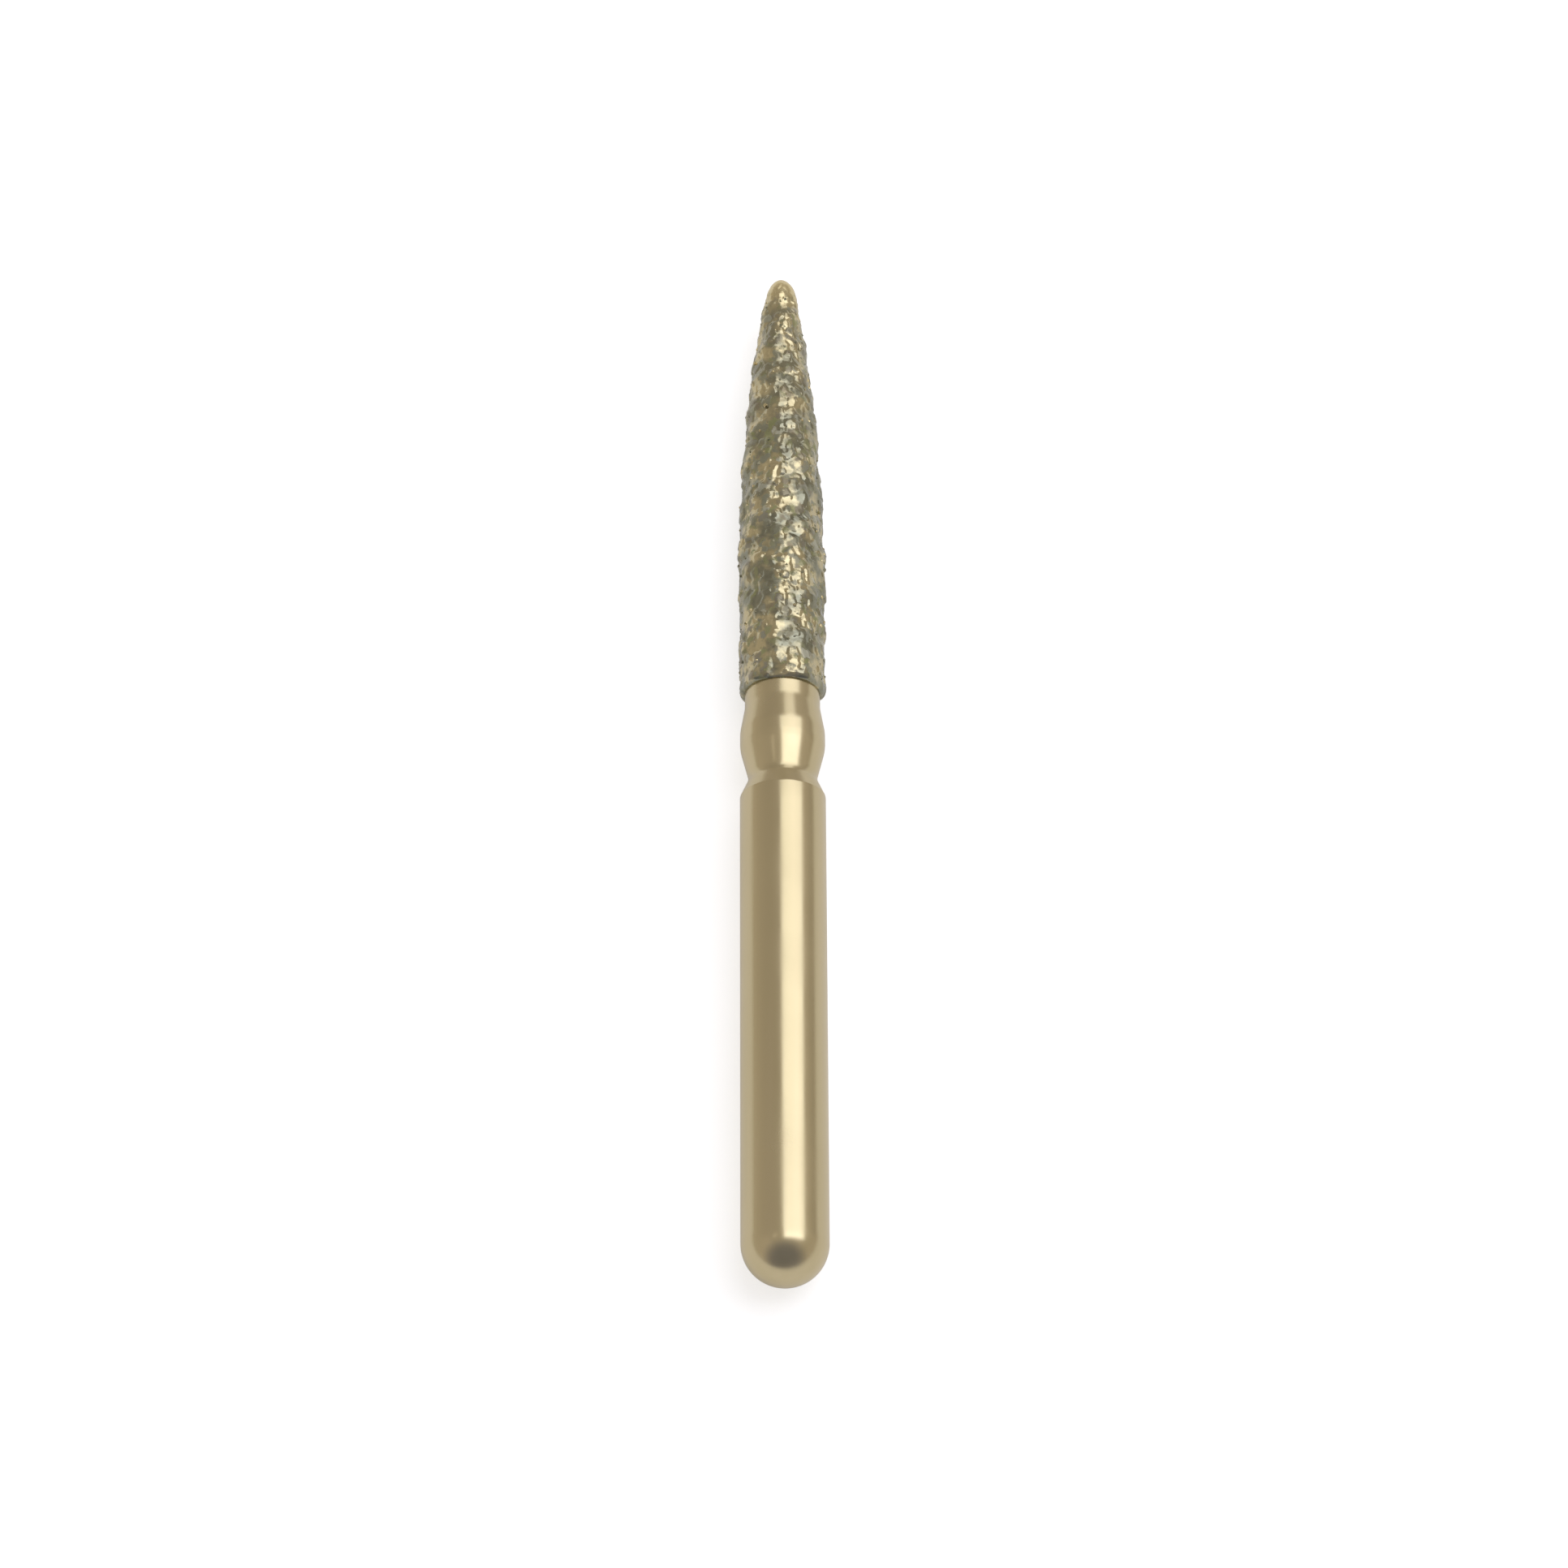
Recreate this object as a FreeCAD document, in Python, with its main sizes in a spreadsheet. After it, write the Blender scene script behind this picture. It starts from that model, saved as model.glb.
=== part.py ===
import FreeCAD
import Part
import math
import os
import random
import Sketcher

# A friction-grip diamond bur with a flame-shaped head, lying along +Y with its tip towards +Y.
# The origin is on the axis, at the centre of the shank's round end, where the grip's cylinder starts.
# It is one turned steel blank, and the diamond coat that is plated onto the blank's head.

Vector = FreeCAD.Vector

# Driving dimensions in millimetres: name, value, what it is.
SIZES = [
    ("shank_diameter", 1.60, "friction-grip shank, and the width of its round end"),
    ("grip_length", 8.94, "straight part of the shank that the chuck holds"),
    ("rim_fillet", 0.06, "radius where the grip turns into the groove"),
    ("groove_depth", 0.17, "corner of the groove below the grip's surface, before its rounding"),
    ("groove_chamfer", 0.38, "length of the cone from the grip down to the groove"),
    ("groove_fillet", 0.26, "radius at the bottom of the groove"),
    ("collar_diameter", 1.59, "collar between the groove and the neck"),
    ("collar_rise", 0.65, "length of the cone from the groove up to the collar"),
    ("collar_land", 0.34, "length of the collar at its full diameter"),
    ("collar_fall", 0.51, "length of the cone from the collar down to the neck"),
    ("collar_fillet", 0.75, "radius at both edges of the collar"),
    ("neck_fillet", 0.60, "radius where the collar's cone meets the neck"),
    ("neck_length", 0.305, "straight neck that shows below the coat"),
    ("head_length", 9.17, "coated length, from the neck to the tip"),
    ("head_diameter", 1.64, "head across the middle of its grains"),
    ("straight_length", 2.75, "cylindrical part of the head"),
    ("nose_length", 0.55, "blunt oval end of the flame"),
    ("nose_diameter", 0.65, "flame where its nose starts"),
    ("core_tip_radius", 0.12, "rounding of the blank's own tip, under the coat"),
    ("coat_thickness", 0.115, "from the blank to the middle of the grains"),
    ("coat_lip", 0.02, "flat edge of the coat's end face, around the neck"),
    ("edge_length", 0.16, "rounding of the coat's edge, along the neck"),
    ("grain_pitch", 0.172, "spacing of the diamond grains"),
    ("grain_stand", 0.050, "height of a grain above the bond around it"),
]

SEED = 11  # the grains fall the same way in each build
WALL_JITTER = 0.17  # sideways scatter of the valleys between grains, as a share of the pitch
RING_JITTER = 0.20  # scatter of the valleys along the outline, as a share of the pitch
PEAK_JITTER = 0.24  # scatter of a grain's point about the middle of the grain
STAND_SPREAD = 0.45  # a grain stands this share higher or lower than the others
VALLEY_DEPTH = 0.25  # a valley lies up to this share of a grain's stand below the bond
MERGE_SHARE = 0.22  # valley corners nearer than this share of the pitch become one
END_STAND = 0.35  # at the tip and at the edge the plating covers the grains but for this share


def make_sheet(doc):
    sheet = doc.addObject("Spreadsheet::Sheet", "Sizes")
    for row, (name, value, meaning) in enumerate(SIZES, start=1):
        sheet.set("A%d" % row, name)
        sheet.set("B%d" % row, str(value))
        sheet.set("C%d" % row, meaning)
        sheet.setAlias("B%d" % row, name)
    doc.recompute()
    return sheet


def attach_to_plane(body, sketch, role):
    plane = [p for p in body.Origin.OriginFeatures if p.Role == role][0]
    sketch.AttachmentSupport = [(plane, "")]
    sketch.MapMode = "FlatFace"


def axial_places(sheet):
    """Places along the axis, from the round end's centre: the steps of the blank and of the head."""
    places = {"grip_end": sheet.grip_length}
    places["groove"] = places["grip_end"] + sheet.groove_chamfer
    places["collar_start"] = places["groove"] + sheet.collar_rise
    places["collar_end"] = places["collar_start"] + sheet.collar_land
    places["neck_start"] = places["collar_end"] + sheet.collar_fall
    places["coat_start"] = places["neck_start"] + sheet.neck_length
    places["flame_start"] = places["coat_start"] + sheet.straight_length
    places["tip"] = places["coat_start"] + sheet.head_length
    places["core_tip"] = places["tip"] - sheet.coat_thickness
    return places


def core_radius(sheet):
    """The blank is turned to one diameter along its neck and under the coat."""
    return sheet.head_diameter / 2 - sheet.coat_thickness


def core_flame(sheet, places):
    """Radius of the arc from the neck's width to the ball at the core's tip, and its angle."""
    side, ball = core_radius(sheet), sheet.core_tip_radius
    ball_centre = places["core_tip"] - ball
    run = ball_centre - places["flame_start"]
    radius = (run**2 + side**2 - ball**2) / (2 * (side - ball))
    return radius, math.asin(run / (radius - ball))


def make_blank(doc, sheet):
    """The turned steel blank: round end, grip, groove, collar, neck and the head's core."""
    places = axial_places(sheet)
    shank = sheet.shank_diameter / 2
    groove = shank - sheet.groove_depth
    collar, side = sheet.collar_diameter / 2, core_radius(sheet)
    flame, lean = core_flame(sheet, places)
    ball = sheet.core_tip_radius

    body = doc.addObject("PartDesign::Body", "turned_blank")
    body.Label = "turned_blank"
    sketch = body.newObject("Sketcher::SketchObject", "blank_outline")
    attach_to_plane(body, sketch, "XY_Plane")

    corners = [
        Vector(shank, 0, 0),
        Vector(shank, places["grip_end"], 0),
        Vector(groove, places["groove"], 0),
        Vector(collar, places["collar_start"], 0),
        Vector(collar, places["collar_end"], 0),
        Vector(side, places["neck_start"], 0),
        Vector(side, places["flame_start"], 0),
    ]
    axis_z = Vector(0, 0, 1)
    round_end = Part.ArcOfCircle(Part.Circle(Vector(0, 0, 0), axis_z, shank), -math.pi / 2, 0)
    flame_centre = Vector(side - flame, places["flame_start"], 0)
    flame_arc = Part.ArcOfCircle(Part.Circle(flame_centre, axis_z, flame), 0, lean)
    ball_centre = Vector(0, places["core_tip"] - ball, 0)
    tip_arc = Part.ArcOfCircle(Part.Circle(ball_centre, axis_z, ball), lean, math.pi / 2)
    axis_line = Part.LineSegment(Vector(0, places["core_tip"], 0), Vector(0, -shank, 0))

    add = sketch.addGeometry
    end_arc = add(round_end, False)
    lines = [add(Part.LineSegment(a, b), False) for a, b in zip(corners, corners[1:])]
    grip, chamfer, rise, land, fall, neck = lines
    flame_side = add(flame_arc, False)
    tip_ball = add(tip_arc, False)
    axis = add(axis_line, False)

    start, end, centre = 1, 2, 3
    origin, vertical = -1, -2

    def constrain(*values):
        return sketch.addConstraint(Sketcher.Constraint(*values))

    def size(name, expression, *values):
        sketch.renameConstraint(constrain(*values), name)
        sketch.setExpression("Constraints." + name, expression)

    constrain("Coincident", end_arc, centre, origin, start)
    constrain("Tangent", end_arc, end, grip, start)
    for first, second in zip(lines, lines[1:]):
        constrain("Coincident", first, end, second, start)
    constrain("Tangent", neck, end, flame_side, start)
    constrain("Tangent", flame_side, end, tip_ball, start)
    constrain("Coincident", tip_ball, end, axis, start)
    constrain("Coincident", axis, end, end_arc, start)
    constrain("PointOnObject", axis, start, vertical)
    constrain("PointOnObject", axis, end, vertical)
    constrain("PointOnObject", tip_ball, centre, vertical)
    for line in (land, neck):
        constrain("Vertical", line)

    size("shank", "Sizes.shank_diameter / 2", "DistanceX", origin, start, grip, start, shank)
    constrain("Vertical", grip)
    size(
        "groove",
        "Sizes.shank_diameter / 2 - Sizes.groove_depth",
        "DistanceX", origin, start, rise, start, groove,
    )
    size("collar", "Sizes.collar_diameter / 2", "DistanceX", origin, start, land, start, collar)
    size(
        "neck",
        "Sizes.head_diameter / 2 - Sizes.coat_thickness",
        "DistanceX", origin, start, neck, start, side,
    )
    for name, line, length in (
        ("grip_length", grip, sheet.grip_length),
        ("groove_chamfer", chamfer, sheet.groove_chamfer),
        ("collar_rise", rise, sheet.collar_rise),
        ("collar_land", land, sheet.collar_land),
        ("collar_fall", fall, sheet.collar_fall),
    ):
        size(name, "Sizes." + name, "DistanceY", line, start, line, end, length)
    size(
        "neck_and_core",
        "Sizes.neck_length + Sizes.straight_length",
        "DistanceY", neck, start, neck, end, sheet.neck_length + sheet.straight_length,
    )
    size(
        "core_flame",
        "Sizes.head_length - Sizes.straight_length - Sizes.coat_thickness",
        "DistanceY", neck, end, tip_ball, end, places["core_tip"] - places["flame_start"],
    )
    size("core_tip", "Sizes.core_tip_radius", "Radius", tip_ball, ball)

    turned = body.newObject("PartDesign::Revolution", "turned_outline")
    turned.Profile = sketch
    turned.ReferenceAxis = (sketch, ["V_Axis"])
    turned.Angle = 360
    sketch.Visibility = False
    doc.recompute()

    rings = [
        ("rim_rounding", "Sizes.rim_fillet", [(shank, "grip_end")]),
        (
            "groove_rounding",
            "min(Sizes.groove_fillet; 2 * Sizes.groove_chamfer)",
            [(groove, "groove")],
        ),
        (
            "collar_rounding",
            "min(Sizes.collar_fillet; 3 * Sizes.collar_land)",
            [(collar, "collar_start"), (collar, "collar_end")],
        ),
        ("neck_rounding", "Sizes.neck_fillet", [(side, "neck_start")]),
    ]
    base = turned
    for name, radius, circles in rings:
        rounding = body.newObject("PartDesign::Fillet", name)
        found = [ring_edge(base.Shape, around, places[place]) for around, place in circles]
        rounding.Base = (base, found)
        rounding.setExpression("Radius", radius)
        doc.recompute()
        base = rounding
    body.Tip = base
    return body


def ring_edge(shape, radius, place):
    """Name of the circular edge of that radius round the axis at that place."""
    for number, edge in enumerate(shape.Edges, start=1):
        if edge.Degenerated or not isinstance(edge.Curve, Part.Circle):
            continue
        curve = edge.Curve
        if abs(curve.Radius - radius) < 1e-6 and abs(curve.Center.y - place) < 1e-6:
            return "Edge%d" % number
    raise RuntimeError("no ring of radius %g at %g" % (radius, place))


def oval_arc(centre, half_width, half_length, first, last):
    """Arc of an oval in the outline; its angles are counted from the radial direction to the tip."""
    circle = Part.Circle(Vector(0, 0, 0), Vector(0, 0, 1), 1)
    stretch = FreeCAD.Matrix()
    stretch.scale(half_width, half_length, 1)
    stretch.move(centre)
    return Part.ArcOfCircle(circle, first, last).toShape().transformGeometry(stretch)


def bond_outline(sheet, places):
    """Half section of the coat at the bond, below the grains: edge, straight, flame and nose."""
    sink = sheet.grain_stand / 2
    side = sheet.head_diameter / 2 - sink
    lip = core_radius(sheet) + sheet.coat_lip
    tip = places["tip"] - sink * END_STAND
    nose_side = sheet.nose_diameter / 2 - sink * END_STAND
    nose_start = tip - sheet.nose_length
    drop, run = side - nose_side, nose_start - places["flame_start"]
    flame = (drop**2 + run**2) / (2 * drop)
    flame_centre = Vector(side - flame, places["flame_start"], 0)
    edge_end = places["coat_start"] + sheet.edge_length
    quarter = math.pi / 2
    return Part.Wire([
        oval_arc(Vector(lip, edge_end, 0), side - lip, sheet.edge_length, -quarter, 0),
        Part.makeLine(Vector(side, edge_end, 0), Vector(side, places["flame_start"], 0)),
        oval_arc(flame_centre, flame, flame, 0, math.asin(run / flame)),
        oval_arc(Vector(0, nose_start, 0), nose_side, sheet.nose_length, 0, quarter),
    ])


def turn_gap(first, second):
    """Angle from first on to second, the short way, with its sign."""
    return (second - first + math.pi) % (2 * math.pi) - math.pi


def merged_angles(angles, least):
    """The angles in order round the axis, where those closer than least have become one."""
    kept = []
    for angle in sorted(a % (2 * math.pi) for a in angles):
        if kept and angle - kept[-1] < least:
            kept[-1] = (kept[-1] + angle) / 2
        else:
            kept.append(angle)
    if len(kept) > 1 and kept[0] + 2 * math.pi - kept[-1] < least:
        kept.pop()
    return kept


def nearest(angles, wanted):
    return min(range(len(angles)), key=lambda i: abs(turn_gap(angles[i], wanted)))


def between(ring, angles, first, second):
    """Points of a ring from the wall at one angle round to the wall at the next."""
    here, last = nearest(angles, first), nearest(angles, second)
    points = [ring[here]]
    while here != last:
        here = (here + 1) % len(ring)
        points.append(ring[here])
    return points


def make_grit_skin(doc, sheet):
    """The coat's outside as a closed faceted solid: rows of grains, each one a low pointed crystal."""
    chance = random.Random(SEED)
    places = axial_places(sheet)
    pitch, stand = sheet.grain_pitch, sheet.grain_stand
    outline = bond_outline(sheet, places)
    rows = max(3, round(outline.Length / pitch))
    # even points lie between the rows of grains, and odd ones at the middle of a row
    points = outline.discretize(Number=2 * rows + 1)
    nose_start = places["tip"] - sheet.nose_length

    def frame_at(station):
        """Point, direction along the outline and outward normal, in radius and axial place."""
        low, high = int(math.floor(station)), int(math.ceil(station))
        share = station - low
        point = points[low] * (1 - share) + points[high] * share
        along = points[min(high + 1, 2 * rows)] - points[max(low - 1, 0)]
        along.normalize()
        return point, along, Vector(along.y, -along.x, 0)

    def cover(place):
        """Share of a grain's stand that shows: less where the plating covers it, at both ends."""
        tip_share = (place - nose_start) / sheet.nose_length
        edge_share = 1 - (place - places["coat_start"]) / sheet.edge_length
        return 1 - (1 - END_STAND) * min(max(tip_share, edge_share, 0), 1)

    def spatial(station, angle, height):
        """Point in space on the coat, at a height above or below the bond."""
        point, _, normal = frame_at(min(max(station, 0), 2 * rows))
        radius = point.x + normal.x * height * cover(point.y)
        place = point.y + normal.y * height * cover(point.y)
        return Vector(radius * math.cos(angle), place, radius * math.sin(angle))

    def scatter(share):
        return chance.uniform(-share, share)

    # walls between the grains of each row, as angles round the axis
    walls = []
    for row in range(rows):
        around = 2 * math.pi * points[2 * row + 1].x
        count = max(5, round(around / pitch))
        step = 2 * math.pi / count
        turn = chance.uniform(0, step)
        walls.append([turn + step * (n + scatter(WALL_JITTER)) for n in range(count)])

    # each ring of valley corners serves the row below it and the row above it
    rings, ring_angles = [], []
    for k in range(rows):
        radius = points[2 * k].x
        both = walls[k] + (walls[k - 1] if k else [])
        angles = merged_angles(both, MERGE_SHARE * pitch / radius)
        ring = []
        for angle in angles:
            station = 2 * k + (2 * scatter(RING_JITTER) if k else 0)
            depth = -chance.uniform(0, VALLEY_DEPTH) * stand if k else 0
            ring.append(spatial(station, angle, depth))
        rings.append(ring)
        ring_angles.append(angles)
    pole = points[-1]

    faces = []
    for row in range(rows):
        cells = walls[row] + [walls[row][0] + 2 * math.pi]
        for first, second in zip(cells, cells[1:]):
            border = between(rings[row], ring_angles[row], first, second)
            if row + 1 < rows:
                border += between(rings[row + 1], ring_angles[row + 1], first, second)[::-1]
            else:
                border.append(pole)
            middle = (first + second) / 2 + (second - first) * scatter(PEAK_JITTER)
            height = stand * (1 + scatter(STAND_SPREAD))
            peak = spatial(2 * row + 1 + 2 * scatter(PEAK_JITTER), middle, height)
            for a, b in zip(border, border[1:] + border[:1]):
                faces.append(Part.Face(Part.makePolygon([a, b, peak, a])))
    faces.append(Part.Face(Part.makePolygon(rings[0] + rings[0][:1])))

    skin = doc.addObject("Part::Feature", "grit_skin")
    skin.Label = "grit_skin"
    skin.Shape = Part.makeSolid(Part.makeShell(faces))
    return skin


def make_coat(doc, skin, blank):
    """The diamond coat: the faceted skin, bored out to the blank that it is plated onto."""
    coat = doc.addObject("Part::Cut", "diamond_coat")
    coat.Label = "diamond_coat"
    coat.Base = skin
    coat.Tool = blank
    coat.Refine = False
    return coat


def check(doc, parts):
    for item in doc.Objects:
        if "Invalid" in item.State or "Error" in item.State:
            raise RuntimeError("%s failed: %s" % (item.Name, item.State))
    for item in parts:
        shape = item.Shape
        if shape.isNull() or not shape.isValid() or len(shape.Solids) != 1:
            raise RuntimeError("%s is not one valid solid" % item.Label)
        print("%s: %.4f mm3, %d faces" % (item.Label, shape.Volume, len(shape.Faces)))


def main():
    doc = FreeCAD.newDocument("dental_bur")
    sheet = make_sheet(doc)
    blank = make_blank(doc, sheet)
    skin = make_grit_skin(doc, sheet)
    coat = make_coat(doc, skin, blank)
    doc.recompute()
    parts = [blank, coat]
    check(doc, parts)
    os.makedirs("parts", exist_ok=True)
    for item in parts:
        item.Shape.exportStep("parts/%s.step" % item.Label)


main()
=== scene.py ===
import bpy
import math
import random
from mathutils import Euler, Matrix, Vector, kdtree, noise


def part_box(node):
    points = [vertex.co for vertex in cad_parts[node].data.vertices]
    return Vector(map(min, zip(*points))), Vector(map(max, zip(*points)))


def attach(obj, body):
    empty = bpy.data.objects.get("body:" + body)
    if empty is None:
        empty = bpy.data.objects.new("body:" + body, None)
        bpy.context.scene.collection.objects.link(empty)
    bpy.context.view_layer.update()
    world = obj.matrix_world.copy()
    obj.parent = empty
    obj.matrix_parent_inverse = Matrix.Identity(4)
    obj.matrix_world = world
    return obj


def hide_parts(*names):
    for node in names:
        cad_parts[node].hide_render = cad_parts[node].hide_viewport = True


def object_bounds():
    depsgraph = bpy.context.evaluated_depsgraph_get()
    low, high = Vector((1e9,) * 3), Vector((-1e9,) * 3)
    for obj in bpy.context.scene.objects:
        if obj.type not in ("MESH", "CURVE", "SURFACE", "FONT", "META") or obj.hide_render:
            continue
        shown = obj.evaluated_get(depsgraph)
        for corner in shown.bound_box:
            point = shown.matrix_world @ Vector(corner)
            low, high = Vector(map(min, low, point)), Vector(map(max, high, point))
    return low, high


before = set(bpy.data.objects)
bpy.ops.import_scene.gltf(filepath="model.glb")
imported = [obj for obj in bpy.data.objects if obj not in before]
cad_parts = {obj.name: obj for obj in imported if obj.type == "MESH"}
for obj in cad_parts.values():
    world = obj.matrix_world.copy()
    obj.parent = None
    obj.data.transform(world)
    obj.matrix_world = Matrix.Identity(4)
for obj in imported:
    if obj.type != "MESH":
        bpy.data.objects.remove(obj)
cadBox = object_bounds()
print("frame loaded:", sorted(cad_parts))

mm = 0.001  # all sizes below are in millimetres, and Blender's are in metres

# The turned blank, as the drawing of such a bur gives it. Places along the axis come from the frame.
blank = {
    "shankDiameter": 1.60,
    "gripLength": 8.94,
    "rimRadius": 0.06,
    "grooveDepth": 0.17,
    "chamferLength": 0.38,
    "grooveRadius": 0.26,
    "collarDiameter": 1.59,
    "collarRise": 0.65,
    "collarRadius": 0.75,
    "collarLand": 0.34,
    "collarFall": 0.51,
    "neckRadius": 0.60,
    "neckDiameter": 1.41,
    "coreTipRadius": 0.12,
    "coreTipCover": 0.115,  # from the core's tip to the head's tip
    "segments": 160,
    "longestFace": 0.40,
}

# The diamond coat: a skin of plated metal over buried grains.
coat = {
    "headDiameter": 1.585,  # across the skin, between the grains
    "straightLength": 2.75,
    "noseLength": 0.55,
    "noseDiameter": 0.62,
    "lip": 0.02,
    "edgeLength": 0.16,  # the coat's edge at the neck is rounded over
    "segments": 192,
    "ringSpacing": 0.026,
    "ripple": 0.065,  # the metal isn't plated quite evenly
    "rippleLength": 0.42,
    "grainPitch": 0.162,
    "grainScatter": 0.42,  # a grain lies up to this share of the pitch out of its row
    "grainRadius": (0.080, 0.145),
    "grainStand": (0.009, 0.037),
    "grainSteep": (1.9, 3.4),  # how steep its sides are
    "grainLean": (0.24, 0.79),  # how far its top may lean: on the cylinder, and at most
    "grainShows": 0.022,  # a grain that stands so far out shows fully
    "meniscus": 0.012,  # metal creeps up the grains
    "skinSunk": 0.012,  # between the grains the skin lies so far inside the outline
    "smoothTip": 0.75,  # length at the tip that the plating covers
    "seed": 5,
}

# Small crystals that lie pressed into the skin.
crystals = {
    "count": 340,
    "size": (0.038, 0.072),
    "sunk": (0.28, 0.50),  # as a share of its size
    "models": 5,
}

studio = {
    "imageWidth": 1932,  # pixels of the photograph, which is square
    "focalPixels": 7004.7,
    "tilt": 27.37,  # degrees between the bur's axis and the picture's plane
    "distance": 105.88,
    "aimAlong": 9.253,  # place on the axis at the middle of the picture
    "aimAside": 0.022,
    "roll": 0.285,
    "sensor": 36.0,
    "roomLevel": (0.49, 0.45, 0.41),
    "lampDistance": 0.30,
}

# Lamps: where they stand, in degrees round the bur's axis from straight above and in degrees towards
# its tip, how wide and deep they are in metres, and how bright they look, by colour.
lamps = {
    "softboxNear": (23.3, 2.5, (0.292, 0.111), (1.18, 1.23, 1.42)),
    "softboxMiddle": (23.3, 21, (0.292, 0.084), (1.10, 1.15, 1.33)),
    "softboxFar": (23.3, 33.5, (0.292, 0.047), (0.86, 0.90, 1.04)),
    "softboxTop": (23.3, 49, (0.12, 0.13), (0.60, 0.62, 0.71)),
    "softboxLowerEnd": (23.3, -3, (0.27, 0.08), (0.20, 0.22, 0.27)),
    "smallWindow": (-26, -1, (0.014, 0.024), (1.1, 1.1, 1.1)),
}

# Darker parts of the room, seen in the metal: middle in degrees as for the lamps, where the shade starts
# and where it is full, in degrees from its middle, and the colour it leaves.
shades = [
    (-32, 24, 42, 12, (0.86, 0.86, 0.86)),
    (0, -62, 62, 24, (0.42, 0.46, 0.60)),  # the photographer's dark clothes
    (0, 75, 62, 20, (0.85, 0.85, 0.85)),
    (90, 27, 24, 8, (0.84, 0.84, 0.84)),
]

floorTop = cadBox[0].z


def linear(hexColour):
    # sRGB hex value to Blender's linear colour
    channels = [int(hexColour[i:i + 2], 16) / 255 for i in (1, 3, 5)]
    return [c / 12.92 if c <= 0.04045 else ((c + 0.055) / 1.055) ** 2.4 for c in channels] + [1.0]


def addNode(material, kind, settings=None, links=None):
    # one shader node with its settings, and links as {input name: (node, output name)}
    node = material.node_tree.nodes.new(kind)
    for key, value in (settings or {}).items():
        if key in node.inputs:
            node.inputs[key].default_value = value
        else:
            setattr(node, key, value)
    for key, (source, output) in (links or {}).items():
        material.node_tree.links.new(source.outputs[output], node.inputs[key])
    return node


def newMaterial(name):
    material = bpy.data.materials.new(name)
    material.use_nodes = True
    material.node_tree.nodes.clear()
    return material


# Camera


def makeCamera():
    tilt, roll = math.radians(studio["tilt"]), math.radians(studio["roll"])
    forward = Vector((0, math.sin(tilt), -math.cos(tilt)))
    side, up = Vector((1, 0, 0)), Vector((0, math.cos(tilt), math.sin(tilt)))
    right = side * math.cos(roll) - up * math.sin(roll)
    top = side * math.sin(roll) + up * math.cos(roll)
    aim = Vector((studio["aimAside"], studio["aimAlong"], 0)) * mm
    place = aim - forward * studio["distance"] * mm
    data = bpy.data.cameras.new("camera")
    data.sensor_width = studio["sensor"]
    data.lens = studio["sensor"] * studio["focalPixels"] / studio["imageWidth"]
    data.clip_start = 0.001
    camera = bpy.data.objects.new("camera", data)
    axes = Matrix((right, top, -forward)).transposed()
    camera.matrix_world = Matrix.Translation(place) @ axes.to_4x4()
    bpy.context.scene.collection.objects.link(camera)
    bpy.context.scene.camera = camera
    bpy.context.scene.view_settings.view_transform = "Standard"
    print("camera: lens %.1f mm, %.1f mm from the bur" % (data.lens, studio["distance"]))


# Modelling steps


def deselectAll():
    if bpy.context.object and bpy.context.object.mode != "OBJECT":
        bpy.ops.object.mode_set(mode="OBJECT")
    bpy.ops.object.select_all(action="DESELECT")


def selectNearest(piece, point):
    # the one vertex of the outline that lies at that point
    bpy.ops.object.mode_set(mode="OBJECT")
    for edge in piece.data.edges:
        edge.select = False
    for vertex in piece.data.vertices:
        vertex.select = False
    min(piece.data.vertices, key=lambda vertex: (vertex.co - point).length).select = True
    bpy.ops.object.mode_set(mode="EDIT")


def drawOutline(name, points, roundings=()):
    # half section in the XY plane: X is the radius, Y the place along the axis, in millimetres
    deselectAll()
    bpy.ops.mesh.primitive_plane_add(size=mm)
    piece = bpy.context.object
    piece.name = name
    bpy.ops.object.mode_set(mode="EDIT")
    bpy.ops.mesh.select_mode(type="VERT")
    bpy.ops.mesh.select_all(action="SELECT")
    bpy.ops.mesh.merge(type="CENTER")
    spots = [Vector((x, y, 0)) * mm for x, y in points]
    bpy.ops.transform.translate(value=spots[0])
    for here, there in zip(spots, spots[1:]):
        bpy.ops.mesh.extrude_vertices_move(TRANSFORM_OT_translate={"value": there - here})
    for number, radius, segments in roundings:
        before, after = spots[number] - spots[number - 1], spots[number + 1] - spots[number]
        length = radius * mm * math.tan(before.angle(after) / 2)
        selectNearest(piece, spots[number])
        bpy.ops.mesh.bevel(offset=length, offset_type="OFFSET", segments=segments, affect="VERTICES")
    return piece


def shortenEdges(piece, longest):
    # long straight stretches are cut up, so that shading stays even along them
    mesh = piece.data
    while True:
        bpy.ops.object.mode_set(mode="OBJECT")
        lengths = [(mesh.vertices[a].co - mesh.vertices[b].co).length for a, b in mesh.edge_keys]
        cuts = math.ceil(max(lengths) / (longest * mm)) - 1
        if cuts < 1:
            return
        for vertex in mesh.vertices:
            vertex.select = False
        for edge, length in zip(mesh.edges, lengths):
            edge.select = length == max(lengths)
        bpy.ops.object.mode_set(mode="EDIT")
        bpy.ops.mesh.select_mode(type="EDGE")
        bpy.ops.mesh.subdivide(number_cuts=cuts)


def turnOutline(piece, segments):
    # the outline goes once round the axis, as on a lathe
    bpy.ops.object.mode_set(mode="EDIT")
    bpy.ops.mesh.select_all(action="SELECT")
    bpy.ops.mesh.spin(steps=segments, angle=2 * math.pi, center=(0, 0, 0), axis=(0, 1, 0))
    bpy.ops.mesh.select_all(action="SELECT")
    bpy.ops.mesh.remove_doubles(threshold=0.0005 * mm)
    bpy.ops.mesh.normals_make_consistent(inside=False)
    bpy.ops.object.mode_set(mode="OBJECT")


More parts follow.
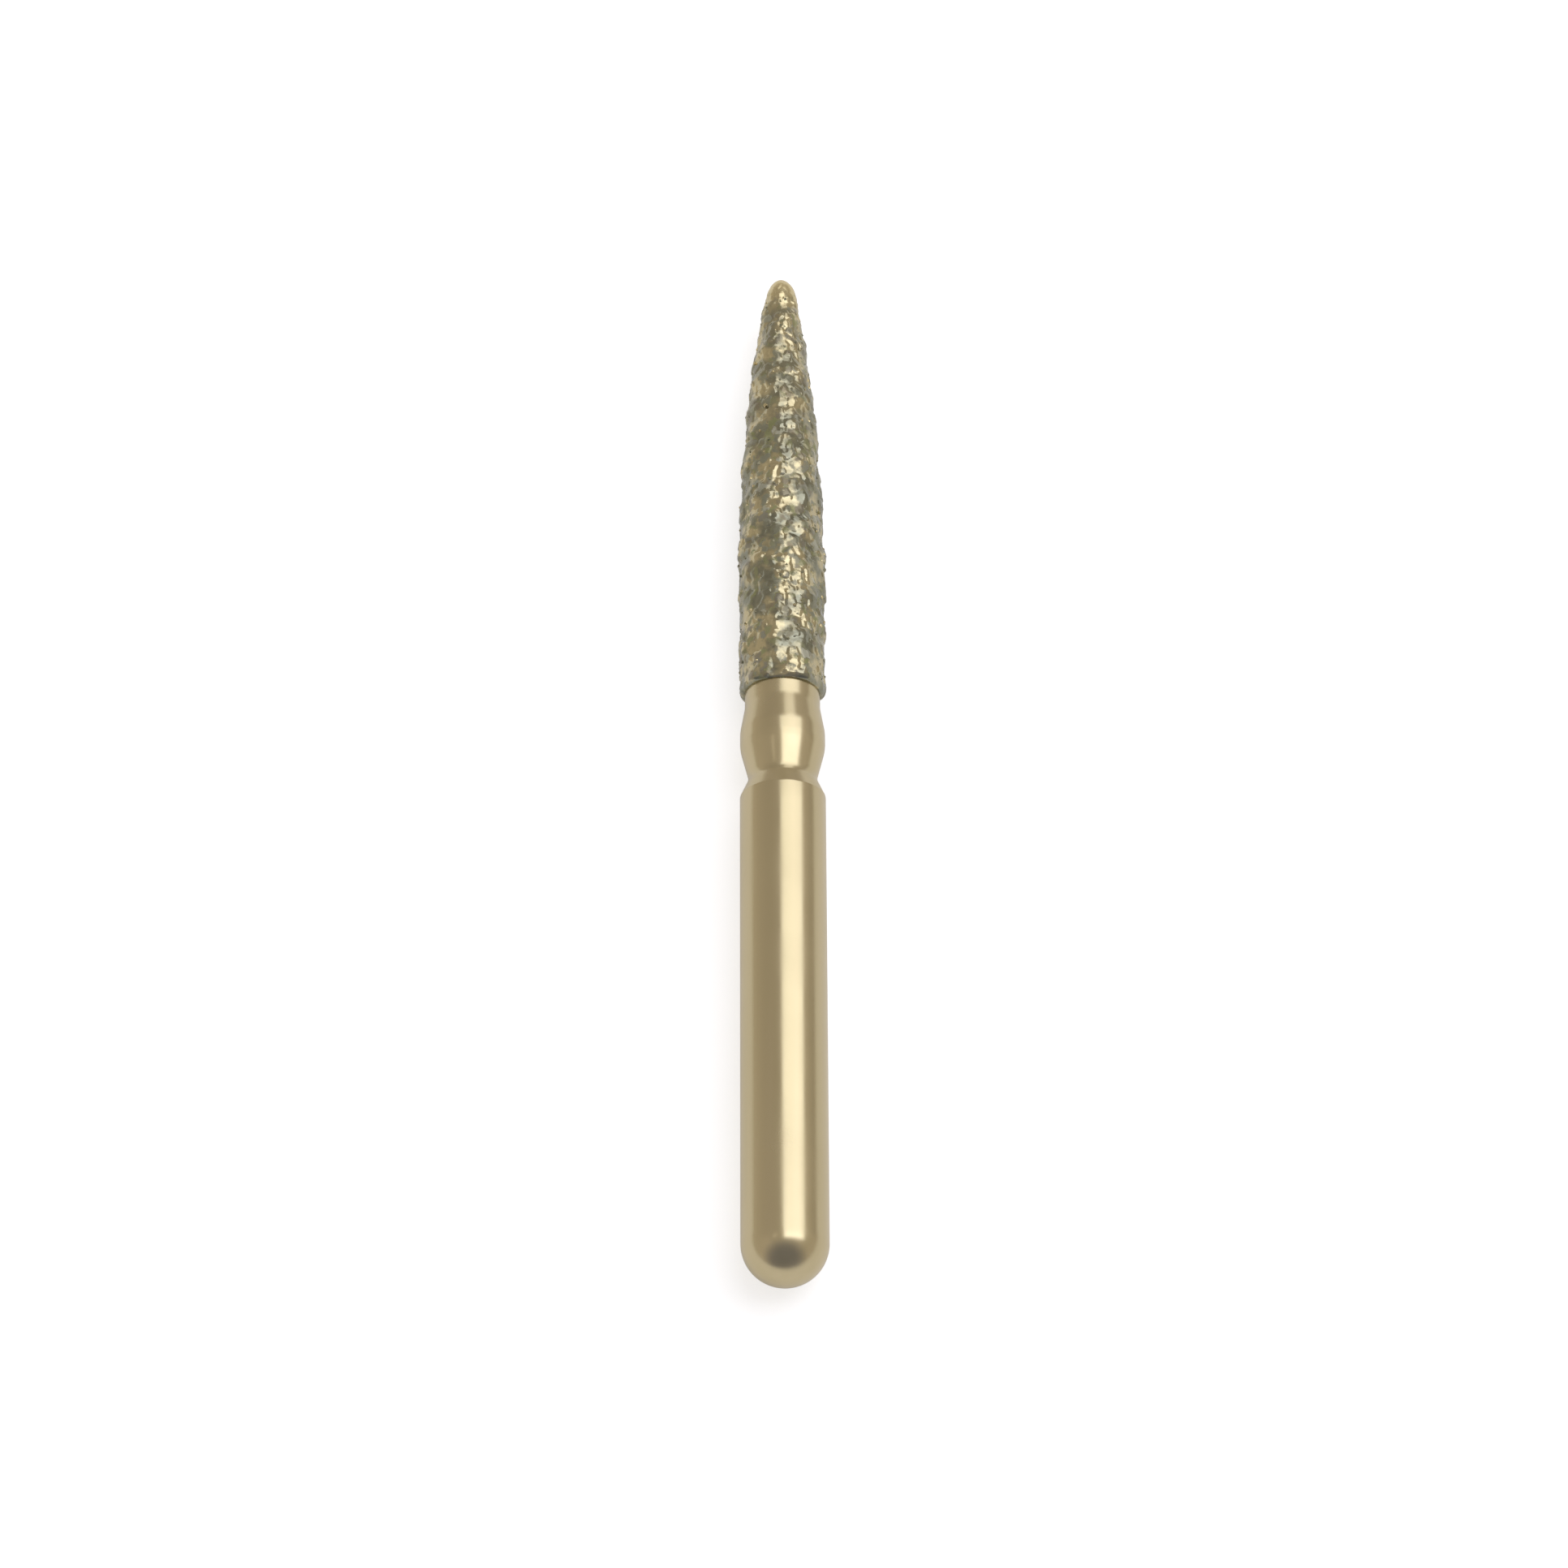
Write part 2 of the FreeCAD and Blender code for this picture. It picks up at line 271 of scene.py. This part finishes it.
def smoothByAngle(piece, degrees):
    deselectAll()
    piece.select_set(True)
    bpy.context.view_layer.objects.active = piece
    bpy.ops.object.shade_smooth_by_angle(angle=math.radians(degrees))


def weighNormals(piece):
    # large faces keep their own direction, and the roundings between them take up the turn
    deselectAll()
    piece.select_set(True)
    bpy.context.view_layer.objects.active = piece
    modifier = piece.modifiers.new("weighNormals", "WEIGHTED_NORMAL")
    modifier.weight = 90
    modifier.keep_sharp = True
    bpy.ops.object.modifier_apply(modifier=modifier.name)


def coreFlame(start, tip):
    # arc from the neck's width to the small ball at the core's tip
    side, ball = blank["neckDiameter"] / 2, blank["coreTipRadius"]
    run = tip - ball - start
    radius = (run**2 + side**2 - ball**2) / (2 * (side - ball))
    lean = math.asin(run / (radius - ball))
    steps = 14
    points = []
    for n in range(1, steps + 1):
        turn = lean * n / steps
        points.append((side - radius * (1 - math.cos(turn)), start + radius * math.sin(turn)))
    for n in range(1, 6):
        turn = lean + (math.pi / 2 - lean) * n / 5
        points.append((ball * math.cos(turn), tip - ball + ball * math.sin(turn)))
    points[-1] = (0, tip)
    return points


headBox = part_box("diamond_coat")
coatStart = headBox[0].y / mm
headTip = headBox[1].y / mm
flameStart = coatStart + coat["straightLength"]
coreTip = headTip - blank["coreTipCover"]


def makeTurnedBlank():
    shank = blank["shankDiameter"] / 2
    collar = blank["collarDiameter"] / 2
    neck = blank["neckDiameter"] / 2
    groove = shank - blank["grooveDepth"]
    grooveAt = blank["gripLength"] + blank["chamferLength"]
    collarAt = grooveAt + blank["collarRise"]
    landEnd = collarAt + blank["collarLand"]
    points = [
        (0, -shank),
        (shank, -shank),
        (shank, blank["gripLength"]),
        (groove, grooveAt),
        (collar, collarAt),
        (collar, landEnd),
        (neck, landEnd + blank["collarFall"]),
        (neck, flameStart),
    ] + coreFlame(flameStart, coreTip)
    roundings = [
        (1, shank, 28),
        (2, blank["rimRadius"], 4),
        (3, blank["grooveRadius"], 10),
        (4, blank["collarRadius"], 8),
        (5, blank["collarRadius"], 8),
        (6, blank["neckRadius"], 6),
    ]
    piece = drawOutline("turnedBlank", points, roundings)
    shortenEdges(piece, blank["longestFace"])
    turnOutline(piece, blank["segments"])
    smoothByAngle(piece, 40)
    weighNormals(piece)
    print("turned blank: %d faces" % len(piece.data.polygons))
    return piece


def skinOutline():
    # rounded edge, straight stretch, flame and oval nose
    side, nose = coat["headDiameter"] / 2, coat["noseDiameter"] / 2
    lip = blank["neckDiameter"] / 2 + coat["lip"]
    shoulder, step = coat["edgeLength"], coat["ringSpacing"]
    noseAt = headTip - coat["grainStand"][0] - coat["noseLength"]
    run = noseAt - flameStart
    radius = ((side - nose) ** 2 + run**2) / (2 * (side - nose))
    lean = math.asin(run / radius)
    points = []
    for n in range(7):
        turn = math.pi / 2 * n / 6
        points.append((lip + (side - lip) * math.sin(turn), coatStart + shoulder * (1 - math.cos(turn))))
    straight = flameStart - coatStart - shoulder
    rings = round(straight / step)
    for n in range(1, rings + 1):
        points.append((side, coatStart + shoulder + straight * n / rings))
    rings = round(radius * lean / step)
    for n in range(1, rings + 1):
        turn = lean * n / rings
        points.append((side - radius * (1 - math.cos(turn)), flameStart + radius * math.sin(turn)))
    rings = round(1.2 * coat["noseLength"] / step)
    for n in range(1, rings):
        turn = math.pi / 2 * n / rings
        points.append((nose * math.cos(turn), noseAt + coat["noseLength"] * math.sin(turn)))
    points.append((0, noseAt + coat["noseLength"]))
    return points


def runOf(outline):
    # length along the outline at each of its points
    lengths = [0]
    for (x0, y0), (x1, y1) in zip(outline, outline[1:]):
        lengths.append(lengths[-1] + math.hypot(x1 - x0, y1 - y0))
    return lengths


def pointAt(outline, lengths, along):
    # radius, place on the axis and outward normal at a length along the outline
    low = 0
    while low < len(lengths) - 2 and lengths[low + 1] < along:
        low += 1
    (x0, y0), (x1, y1) = outline[low], outline[low + 1]
    length = lengths[low + 1] - lengths[low]
    share = (along - lengths[low]) / length
    return x0 + (x1 - x0) * share, y0 + (y1 - y0) * share, (y1 - y0) / length, (x0 - x1) / length


def toSpace(radius, along, angle):
    return Vector((radius * math.cos(angle), along, radius * math.sin(angle)))


def makeSeats(outline, chance):
    # the buried grains: rows along the outline, scattered, each a blunt block with its own slopes
    lengths = runOf(outline)
    pitch, scatter = coat["grainPitch"], coat["grainScatter"]
    level, most = coat["grainLean"]
    first = coat["edgeLength"] * 0.1
    rows = round((lengths[-1] - first) / pitch)
    seats = []
    for row in range(rows):
        middle = first + (row + 0.5) * (lengths[-1] - first) / rows
        count = max(3, round(2 * math.pi * pointAt(outline, lengths, middle)[0] / pitch))
        offset = chance.uniform(0, 2 * math.pi)
        for n in range(count):
            along = min(middle + pitch * chance.uniform(-scatter, scatter), lengths[-1] - 0.01)
            radius, y, nx, ny = pointAt(outline, lengths, along)
            angle = offset + 2 * math.pi * (n + chance.uniform(-scatter, scatter)) / count
            outward = toSpace(nx, ny, angle)
            forward = toSpace(-ny, nx, angle)
            aside = outward.cross(forward)
            size = chance.uniform(*coat["grainRadius"])
            turn = chance.uniform(0, 2 * math.pi)
            sides = chance.choice((4, 5, 5, 6))
            slopes = []
            for side in range(sides):
                lean = turn + 2 * math.pi * (side + chance.uniform(-0.25, 0.25)) / sides
                reach = size * chance.uniform(0.75, 1.15)
                slopes.append((forward * math.cos(lean) + aside * math.sin(lean)) / reach)
            lean = chance.uniform(0, 2 * math.pi)
            steepest = min(level + 3 * abs(ny), most)  # grains on the taper lean more
            tilt = (forward * math.cos(lean) + aside * math.sin(lean)) * chance.uniform(0, steepest) / size
            seats.append({
                "place": toSpace(radius, y, angle),
                "slopes": slopes,
                "tilt": tilt,
                "stand": chance.uniform(*coat["grainStand"]),
                "steep": chance.uniform(*coat["grainSteep"]),
                "tone": chance.random(),
            })
    return seats


def seatTree(seats):
    tree = kdtree.KDTree(len(seats))
    for number, seat in enumerate(seats):
        tree.insert(seat["place"], number)
    tree.balance()
    return tree


def reliefAt(spot, seats, tree):
    # height of the skin over its outline, how far a grain shows there, and that grain's tone
    height, tone = 0, 0.5
    soft = coat["meniscus"]
    highest = 0
    for place, number, distance in tree.find_range(spot, coat["grainRadius"][1] * 1.15):
        seat = seats[number]
        away = spot - place
        fall = max(away.dot(slope) for slope in seat["slopes"])
        rise = seat["stand"] * min(1 + away.dot(seat["tilt"]), (1 - fall) * seat["steep"])
        if rise > highest:
            highest, tone = rise, seat["tone"]
        gap = max(soft - abs(rise - height), 0) / soft
        height = max(rise, height) + gap * gap * soft / 4
    ripple = coat["ripple"] * noise.noise(spot / coat["rippleLength"])
    return height + ripple - coat["skinSunk"], min(1, highest / coat["grainShows"]), tone


def makeSkin(outline, seats, tree):
    piece = drawOutline("diamondCoatSkin", outline)
    turnOutline(piece, coat["segments"])
    mesh = piece.data
    shares, tones, smooths = [], [], []
    normals = [vertex.normal.copy() for vertex in mesh.vertices]
    for vertex, normal in zip(mesh.vertices, normals):
        spot = vertex.co / mm
        rise, share, tone = reliefAt(spot, seats, tree)
        # the relief fades out at the rim of the coat's edge and is low at the very tip
        edge = min(1, max(0, (spot.y - coatStart) / (0.4 * coat["edgeLength"])))
        end = min(1, 0.30 + max(0, headTip - spot.y) / (2 * coat["smoothTip"]))
        vertex.co += normal * rise * edge * end * mm
        # the plating covers all at the tip, and most of the grains near it; the same share mixes in the
        # tip's lighter gold, which is partly painted light
        away = (headTip - spot.y) / coat["smoothTip"]
        smooth = min(1, max(1.3 - away, 0.22 - away / 30, 0))
        shares.append(share * edge)
        smooths.append(smooth)
        tones.append(tone)
    for name, values in (("grainShare", shares), ("grainTone", tones), ("smoothShare", smooths)):
        mesh.attributes.new(name, "FLOAT", "POINT").data.foreach_set("value", values)
    return piece


def closeBore(piece, outline):
    # the bore that fits the core, and the flat ring between bore and skin
    bore = [outline[0], (blank["neckDiameter"] / 2, coatStart), (blank["neckDiameter"] / 2, flameStart)]
    lining = drawOutline("coatBore", bore + coreFlame(flameStart, coreTip))
    turnOutline(lining, coat["segments"])
    for name in ("grainShare", "grainTone", "smoothShare"):
        lining.data.attributes.new(name, "FLOAT", "POINT")
    deselectAll()
    lining.select_set(True)
    piece.select_set(True)
    bpy.context.view_layer.objects.active = piece
    bpy.ops.object.join()
    bpy.ops.object.mode_set(mode="EDIT")
    bpy.ops.mesh.select_all(action="SELECT")
    bpy.ops.mesh.remove_doubles(threshold=0.0005 * mm)
    bpy.ops.mesh.normals_make_consistent(inside=False)
    bpy.ops.object.mode_set(mode="OBJECT")
    smoothByAngle(piece, 75)
    print("skin: %d faces" % len(piece.data.polygons))


def makeCrystal(number, chance):
    # one small crystal: a block with broken corners
    deselectAll()
    bpy.ops.mesh.primitive_cube_add(size=mm)
    piece = bpy.context.object
    piece.name = "crystal%d" % number
    bpy.ops.object.mode_set(mode="EDIT")
    bpy.ops.mesh.select_mode(type="VERT")
    bpy.ops.mesh.select_all(action="SELECT")
    bpy.ops.mesh.bevel(offset=0.33 * mm, segments=1, affect="VERTICES")
    bpy.ops.object.mode_set(mode="OBJECT")
    for vertex in piece.data.vertices:
        for axis in range(3):
            vertex.co[axis] *= 1 + chance.uniform(-0.16, 0.16)
    bpy.ops.object.mode_set(mode="EDIT")
    bpy.ops.mesh.select_all(action="SELECT")
    bpy.ops.mesh.convex_hull()
    bpy.ops.object.mode_set(mode="OBJECT")
    return piece


def makeCrystals(outline, seats, tree, chance):
    # a few crystals are modelled, and copies of them are turned, sized and pressed into the skin
    models = [makeCrystal(number, chance) for number in range(crystals["models"])]
    lengths = runOf(outline)
    copies = []
    while len(copies) < crystals["count"]:
        along = chance.uniform(1.6 * coat["edgeLength"], lengths[-1] - 0.5)
        radius, y, nx, ny = pointAt(outline, lengths, along)
        if chance.random() > radius / (coat["headDiameter"] / 2):
            continue
        angle = chance.uniform(0, 2 * math.pi)
        place, outward = toSpace(radius, y, angle), toSpace(nx, ny, angle)
        rise, share, tone = reliefAt(place, seats, tree)
        size = chance.uniform(*crystals["size"])
        place += outward * (rise - size * chance.uniform(*crystals["sunk"]))
        model = chance.choice(models)
        copy = model.copy()
        copy.data = model.data.copy()
        turn = Euler([chance.uniform(0, 2 * math.pi) for axis in range(3)]).to_matrix().to_4x4()
        wide, deep = chance.uniform(0.75, 1.1), chance.uniform(0.7, 1.0)
        shape = Matrix.Diagonal((size, size * wide, size * deep, 1))
        copy.data.transform(Matrix.Translation(place * mm) @ turn @ shape)
        attribute = copy.data.attributes.new("grainTone", "FLOAT", "POINT")
        attribute.data.foreach_set("value", [chance.random()] * len(copy.data.vertices))
        bpy.context.scene.collection.objects.link(copy)
        copies.append(copy)
    deselectAll()
    for copy in copies:
        copy.select_set(True)
    bpy.context.view_layer.objects.active = copies[0]
    bpy.ops.object.join()
    piece = bpy.context.object
    piece.name = "freeCrystals"
    for model in models:
        bpy.data.objects.remove(model)
    bpy.ops.object.shade_flat()
    print("free crystals: %d, %d faces" % (len(copies), len(piece.data.polygons)))
    return piece


# Materials


def addNoise(material, place, perMillimetre, detail):
    # noise with so many patches to the millimetre
    return addNode(
        material, "ShaderNodeTexNoise", {"Scale": perMillimetre / mm, "Detail": detail},
        {"Vector": (place, "Object")},
    )


def addStretchedNoise(material, place, across, along):
    # noise with other numbers of patches to the millimetre across the bur's axis and along it
    stretch = addNode(
        material, "ShaderNodeMapping", {"Scale": (across / mm, along / mm, across / mm)},
        {"Vector": (place, "Object")},
    )
    return addNode(
        material, "ShaderNodeTexNoise", {"Scale": 1.0, "Detail": 2.0}, {"Vector": (stretch, "Vector")}
    )


def goldPlatedSteel():
    # stainless steel, turned on a lathe and plated with gold-coloured metal: satin, with fine rings
    material = newMaterial("goldPlatedTurnedSteel")
    place = addNode(material, "ShaderNodeTexCoord")
    rings = addStretchedNoise(material, place, 0.06, 9)
    streak = addStretchedNoise(material, place, 2.6, 0.07)
    cloud = addNoise(material, place, 0.9, 3)
    rough = addNode(
        material, "ShaderNodeMapRange", {"From Min": 0.1, "From Max": 0.9, "To Min": 0.16, "To Max": 0.31},
        {"Value": (cloud, "Fac")},
    )
    tint = addNode(
        material, "ShaderNodeMixRGB", {"Color1": linear("#CCBE92"), "Color2": linear("#E2D2AC")},
        {"Fac": (streak, "Fac")},
    )
    bump = addNode(
        material, "ShaderNodeBump", {"Strength": 0.03, "Distance": 0.003 * mm}, {"Height": (rings, "Fac")}
    )
    shader = addNode(
        material, "ShaderNodeBsdfPrincipled", {"Metallic": 1.0},
        {"Base Color": (tint, "Color"), "Roughness": (rough, "Result"), "Normal": (bump, "Normal")},
    )
    addNode(material, "ShaderNodeOutputMaterial", {}, {"Surface": (shader, "BSDF")})
    return material


def colourRamp(material, stops, source):
    # colours along a value, from stops of a place and an sRGB hex colour
    ramp = addNode(material, "ShaderNodeValToRGB", {}, {"Fac": source})
    elements = ramp.color_ramp.elements
    while len(elements) < len(stops):
        elements.new(0.5)
    for element, (position, colour) in zip(elements, stops):
        element.position = position
        element.color = linear(colour)
    return ramp


grainTones = [
    (0.00, "#797D6B"),  # grey
    (0.24, "#878A74"),
    (0.36, "#898F5C"),  # yellow-green
    (0.50, "#898B63"),
    (0.62, "#847A61"),  # brown
    (0.76, "#7E7C6E"),
    (0.90, "#8E917E"),
    (1.00, "#BCBDA8"),
]
grainSheen = "#F0E2BC"  # the thin metal film tints what the grains reflect
# the tip's colour is lighter than the full flash: the tip is all gold, and its lighter tone is painted
# light, a painted brighter reflection at the tip
flashAndPaintedTipTones = {"thin": "#979681", "full": "#D2C59C", "tip": "#EEDDAA"}  # the gold flash on the nickel


def platedSkin():
    # gold flash over electroplated nickel; it is thin over the grains, which show through it grey and olive
    material = newMaterial("goldFlashedNickelOverDiamond")
    links = material.node_tree.links
    place = addNode(material, "ShaderNodeTexCoord")
    tone = addNode(material, "ShaderNodeAttribute", {"attribute_name": "grainTone"})
    share = addNode(material, "ShaderNodeAttribute", {"attribute_name": "grainShare"})
    smooth = addNode(material, "ShaderNodeAttribute", {"attribute_name": "smoothShare"})
    pebble = addNoise(material, place, 11, 2)
    patch = addNoise(material, place, 5.2, 3)
    cloud = addNoise(material, place, 2.3, 3)
    # bare grain where the metal is worn, and most of all on the grains themselves
    worn = addNode(material, "ShaderNodeMath", {"operation": "MULTIPLY_ADD"})
    links.new(share.outputs["Fac"], worn.inputs[0])
    worn.inputs[1].default_value = 0.08
    links.new(patch.outputs["Fac"], worn.inputs[2])
    spots = addNode(
        material, "ShaderNodeMapRange", {"From Min": 0.53, "From Max": 0.64}, {"Value": (worn, "Value")}
    )
    bare = addNode(material, "ShaderNodeMath", {"operation": "SUBTRACT", "use_clamp": True})
    links.new(spots.outputs["Result"], bare.inputs[0])
    links.new(smooth.outputs["Fac"], bare.inputs[1])
    shade = addNode(
        material, "ShaderNodeMapRange",
        {"From Min": 0.35, "From Max": 0.65, "To Min": 0.82, "To Max": 1.12}, {"Value": (cloud, "Fac")},
    )
    colours = colourRamp(material, grainTones, (tone, "Fac"))
    mottled = addNode(
        material, "ShaderNodeVectorMath", {"operation": "SCALE"}, {"Scale": (shade, "Result")}
    )
    links.new(colours.outputs["Color"], mottled.inputs[0])
    # the flash is thin in some patches and full in others, and the tip is all gold and a little more matt.
    # The tip's gold is lighter than the full flash: painted light, standing in for the brighter reflection
    # at the tip.
    fresh = addNode(
        material, "ShaderNodeMapRange", {"From Min": 0.42, "From Max": 0.58}, {"Value": (cloud, "Fac")}
    )
    flash = addNode(
        material, "ShaderNodeMixRGB",
        {"Color1": linear(flashAndPaintedTipTones["thin"]), "Color2": linear(flashAndPaintedTipTones["full"])},
        {"Fac": (fresh, "Result")},
    )
    giltWithPaintedTipLight = addNode(
        material, "ShaderNodeMixRGB", {"Color2": linear(flashAndPaintedTipTones["tip"])},
        {"Fac": (smooth, "Fac"), "Color1": (flash, "Color")},
    )
    matt = addNode(
        material, "ShaderNodeMapRange", {"To Min": 0.13, "To Max": 0.28}, {"Value": (smooth, "Fac")}
    )
    bump = addNode(
        material, "ShaderNodeBump", {"Strength": 0.25, "Distance": 0.006 * mm}, {"Height": (pebble, "Fac")}
    )
    metal = addNode(
        material, "ShaderNodeBsdfPrincipled", {"Metallic": 1.0},
        {"Base Color": (giltWithPaintedTipLight, "Color"), "Roughness": (matt, "Result"), "Normal": (bump, "Normal")},
    )
    grain = addNode(
        material, "ShaderNodeBsdfPrincipled",
        {"Roughness": 0.22, "IOR": 2.42, "Specular Tint": linear(grainSheen)},
        {"Base Color": (mottled, "Vector"), "Normal": (bump, "Normal")},
    )
    both = addNode(material, "ShaderNodeMixShader", {}, {"Fac": (bare, "Value")})
    links.new(metal.outputs["BSDF"], both.inputs[1])
    links.new(grain.outputs["BSDF"], both.inputs[2])
    addNode(material, "ShaderNodeOutputMaterial", {}, {"Surface": (both, "Shader")})
    return material


crystalTones = [(0.0, "#72765F"), (0.45, "#8D8C72"), (0.66, "#9A9468"), (0.70, "#DCCDA0")]
platedFrom = 0.68  # crystals with a higher tone keep their metal


def freeDiamond():
    # synthetic diamond in small crystals: most are bare, grey-green and glassy, and some keep their metal
    material = newMaterial("bareDiamondGrit")
    place = addNode(material, "ShaderNodeTexCoord")
    tone = addNode(material, "ShaderNodeAttribute", {"attribute_name": "grainTone"})
    colours = colourRamp(material, crystalTones, (tone, "Fac"))
    plated = addNode(material, "ShaderNodeMath", {"operation": "GREATER_THAN"})
    material.node_tree.links.new(tone.outputs["Fac"], plated.inputs[0])
    plated.inputs[1].default_value = platedFrom
    pits = addNoise(material, place, 18, 1)
    bump = addNode(
        material, "ShaderNodeBump", {"Strength": 0.2, "Distance": 0.006 * mm}, {"Height": (pits, "Fac")}
    )
    shader = addNode(
        material, "ShaderNodeBsdfPrincipled",
        {"Roughness": 0.16, "IOR": 2.42, "Specular Tint": linear(grainSheen)},
        {"Base Color": (colours, "Color"), "Metallic": (plated, "Value"), "Normal": (bump, "Normal")},
    )
    addNode(material, "ShaderNodeOutputMaterial", {}, {"Surface": (shader, "BSDF")})
    return material


def whiteCard():
    # matt card, shown white to the camera. Metal sees the lit card itself, a little darker than white.
    material = newMaterial("whiteCard")
    links = material.node_tree.links
    path = addNode(material, "ShaderNodeLightPath")
    shares = {"Is Camera Ray": 0.63, "Is Transmission Ray": 0.63, "Is Glossy Ray": 0.20}
    total = None
    for name, share in shares.items():
        part = addNode(material, "ShaderNodeMath", {"operation": "MULTIPLY_ADD"})
        links.new(path.outputs[name], part.inputs[0])
        part.inputs[1].default_value = share
        part.inputs[2].default_value = 0
        if total:
            links.new(total.outputs["Value"], part.inputs[2])
        total = part
    card = addNode(material, "ShaderNodeBsdfDiffuse", {"Color": linear("#E8E8E8")})
    glow = addNode(material, "ShaderNodeEmission", {"Color": (1, 1, 1, 1)}, {"Strength": (total, "Value")})
    both = addNode(material, "ShaderNodeAddShader")
    links.new(card.outputs["BSDF"], both.inputs[0])
    links.new(glow.outputs["Emission"], both.inputs[1])
    addNode(material, "ShaderNodeOutputMaterial", {}, {"Surface": (both, "Shader")})
    return material


# Studio


def makeFloor():
    deselectAll()
    bpy.ops.mesh.primitive_plane_add(size=4.0, location=(0, 0, floorTop))
    floor = bpy.context.object
    floor.name = "floor"
    floor.data.materials.append(whiteCard())


def towards(around, along):
    # direction by its angle round the bur's axis, from straight above, and its angle towards the tip
    a, b = math.radians(around), math.radians(along)
    return Vector((math.cos(b) * math.sin(a), math.sin(b), math.cos(b) * math.cos(a)))


def makeRoom():
    # a plain warm-grey room, darker beside the softbox and where the photographer stands
    world = bpy.data.worlds.new("greyRoom")
    world.use_nodes = True
    world.node_tree.nodes.clear()
    view = addNode(world, "ShaderNodeTexCoord")
    level = addNode(world, "ShaderNodeRGB")
    level.outputs["Color"].default_value = (*studio["roomLevel"], 1)
    for around, along, wide, narrow, tint in shades:
        facing = addNode(world, "ShaderNodeVectorMath", {"operation": "DOT_PRODUCT"})
        world.node_tree.links.new(view.outputs["Generated"], facing.inputs[0])
        facing.inputs[1].default_value = towards(around, along)
        share = addNode(
            world, "ShaderNodeMapRange",
            {"interpolation_type": "SMOOTHSTEP", "From Min": math.cos(math.radians(wide)),
             "From Max": math.cos(math.radians(narrow))},
            {"Value": (facing, "Value")},
        )
        shade = addNode(
            world, "ShaderNodeMixRGB", {"Color1": (1, 1, 1, 1), "Color2": (*tint, 1)},
            {"Fac": (share, "Result")},
        )
        darker = addNode(world, "ShaderNodeVectorMath", {"operation": "MULTIPLY"})
        world.node_tree.links.new(level.outputs[0], darker.inputs[0])
        world.node_tree.links.new(shade.outputs["Color"], darker.inputs[1])
        level = darker
    room = addNode(world, "ShaderNodeBackground")
    world.node_tree.links.new(level.outputs[0], room.inputs["Color"])
    addNode(world, "ShaderNodeOutputWorld", {}, {"Surface": (room, "Background")})
    bpy.context.scene.world = world


def addLamp(name, around, along, size, level):
    # a flat lamp that faces the bur, and that the camera doesn't see; level is its brightness by colour
    direction = towards(around, along)
    middle = Vector((0, studio["aimAlong"] * mm, 0))
    data = bpy.data.lights.new(name, "AREA")
    data.shape = "RECTANGLE"
    data.size, data.size_y = size
    strongest = max(level)
    data.color = [part / strongest for part in level]
    data.energy = strongest * math.pi * size[0] * size[1]
    lamp = bpy.data.objects.new(name, data)
    side = Vector((math.cos(math.radians(around)), 0, -math.sin(math.radians(around))))
    axes = Matrix((side, direction.cross(side), direction)).transposed().to_4x4()
    lamp.matrix_world = Matrix.Translation(middle + direction * studio["lampDistance"]) @ axes
    lamp.visible_camera = False
    bpy.context.scene.collection.objects.link(lamp)


def makeStudio():
    makeFloor()
    makeRoom()
    for name, (around, along, size, level) in lamps.items():
        addLamp(name, around, along, size, level)
    print("studio: floor, room and %d lamps" % len(lamps))


makeCamera()
makeStudio()

blankPiece = makeTurnedBlank()
blankPiece.data.materials.append(goldPlatedSteel())
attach(blankPiece, "root")
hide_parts("turned_blank")

chance = random.Random(coat["seed"])
outline = skinOutline()
seats = makeSeats(outline, chance)
tree = seatTree(seats)
skinPiece = makeSkin(outline, seats, tree)
closeBore(skinPiece, outline)
skinPiece.data.materials.append(platedSkin())
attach(skinPiece, "root")
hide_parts("diamond_coat")

crystalPiece = makeCrystals(outline, seats, tree, chance)
crystalPiece.data.materials.append(freeDiamond())
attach(crystalPiece, "root")
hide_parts("diamond_coat")
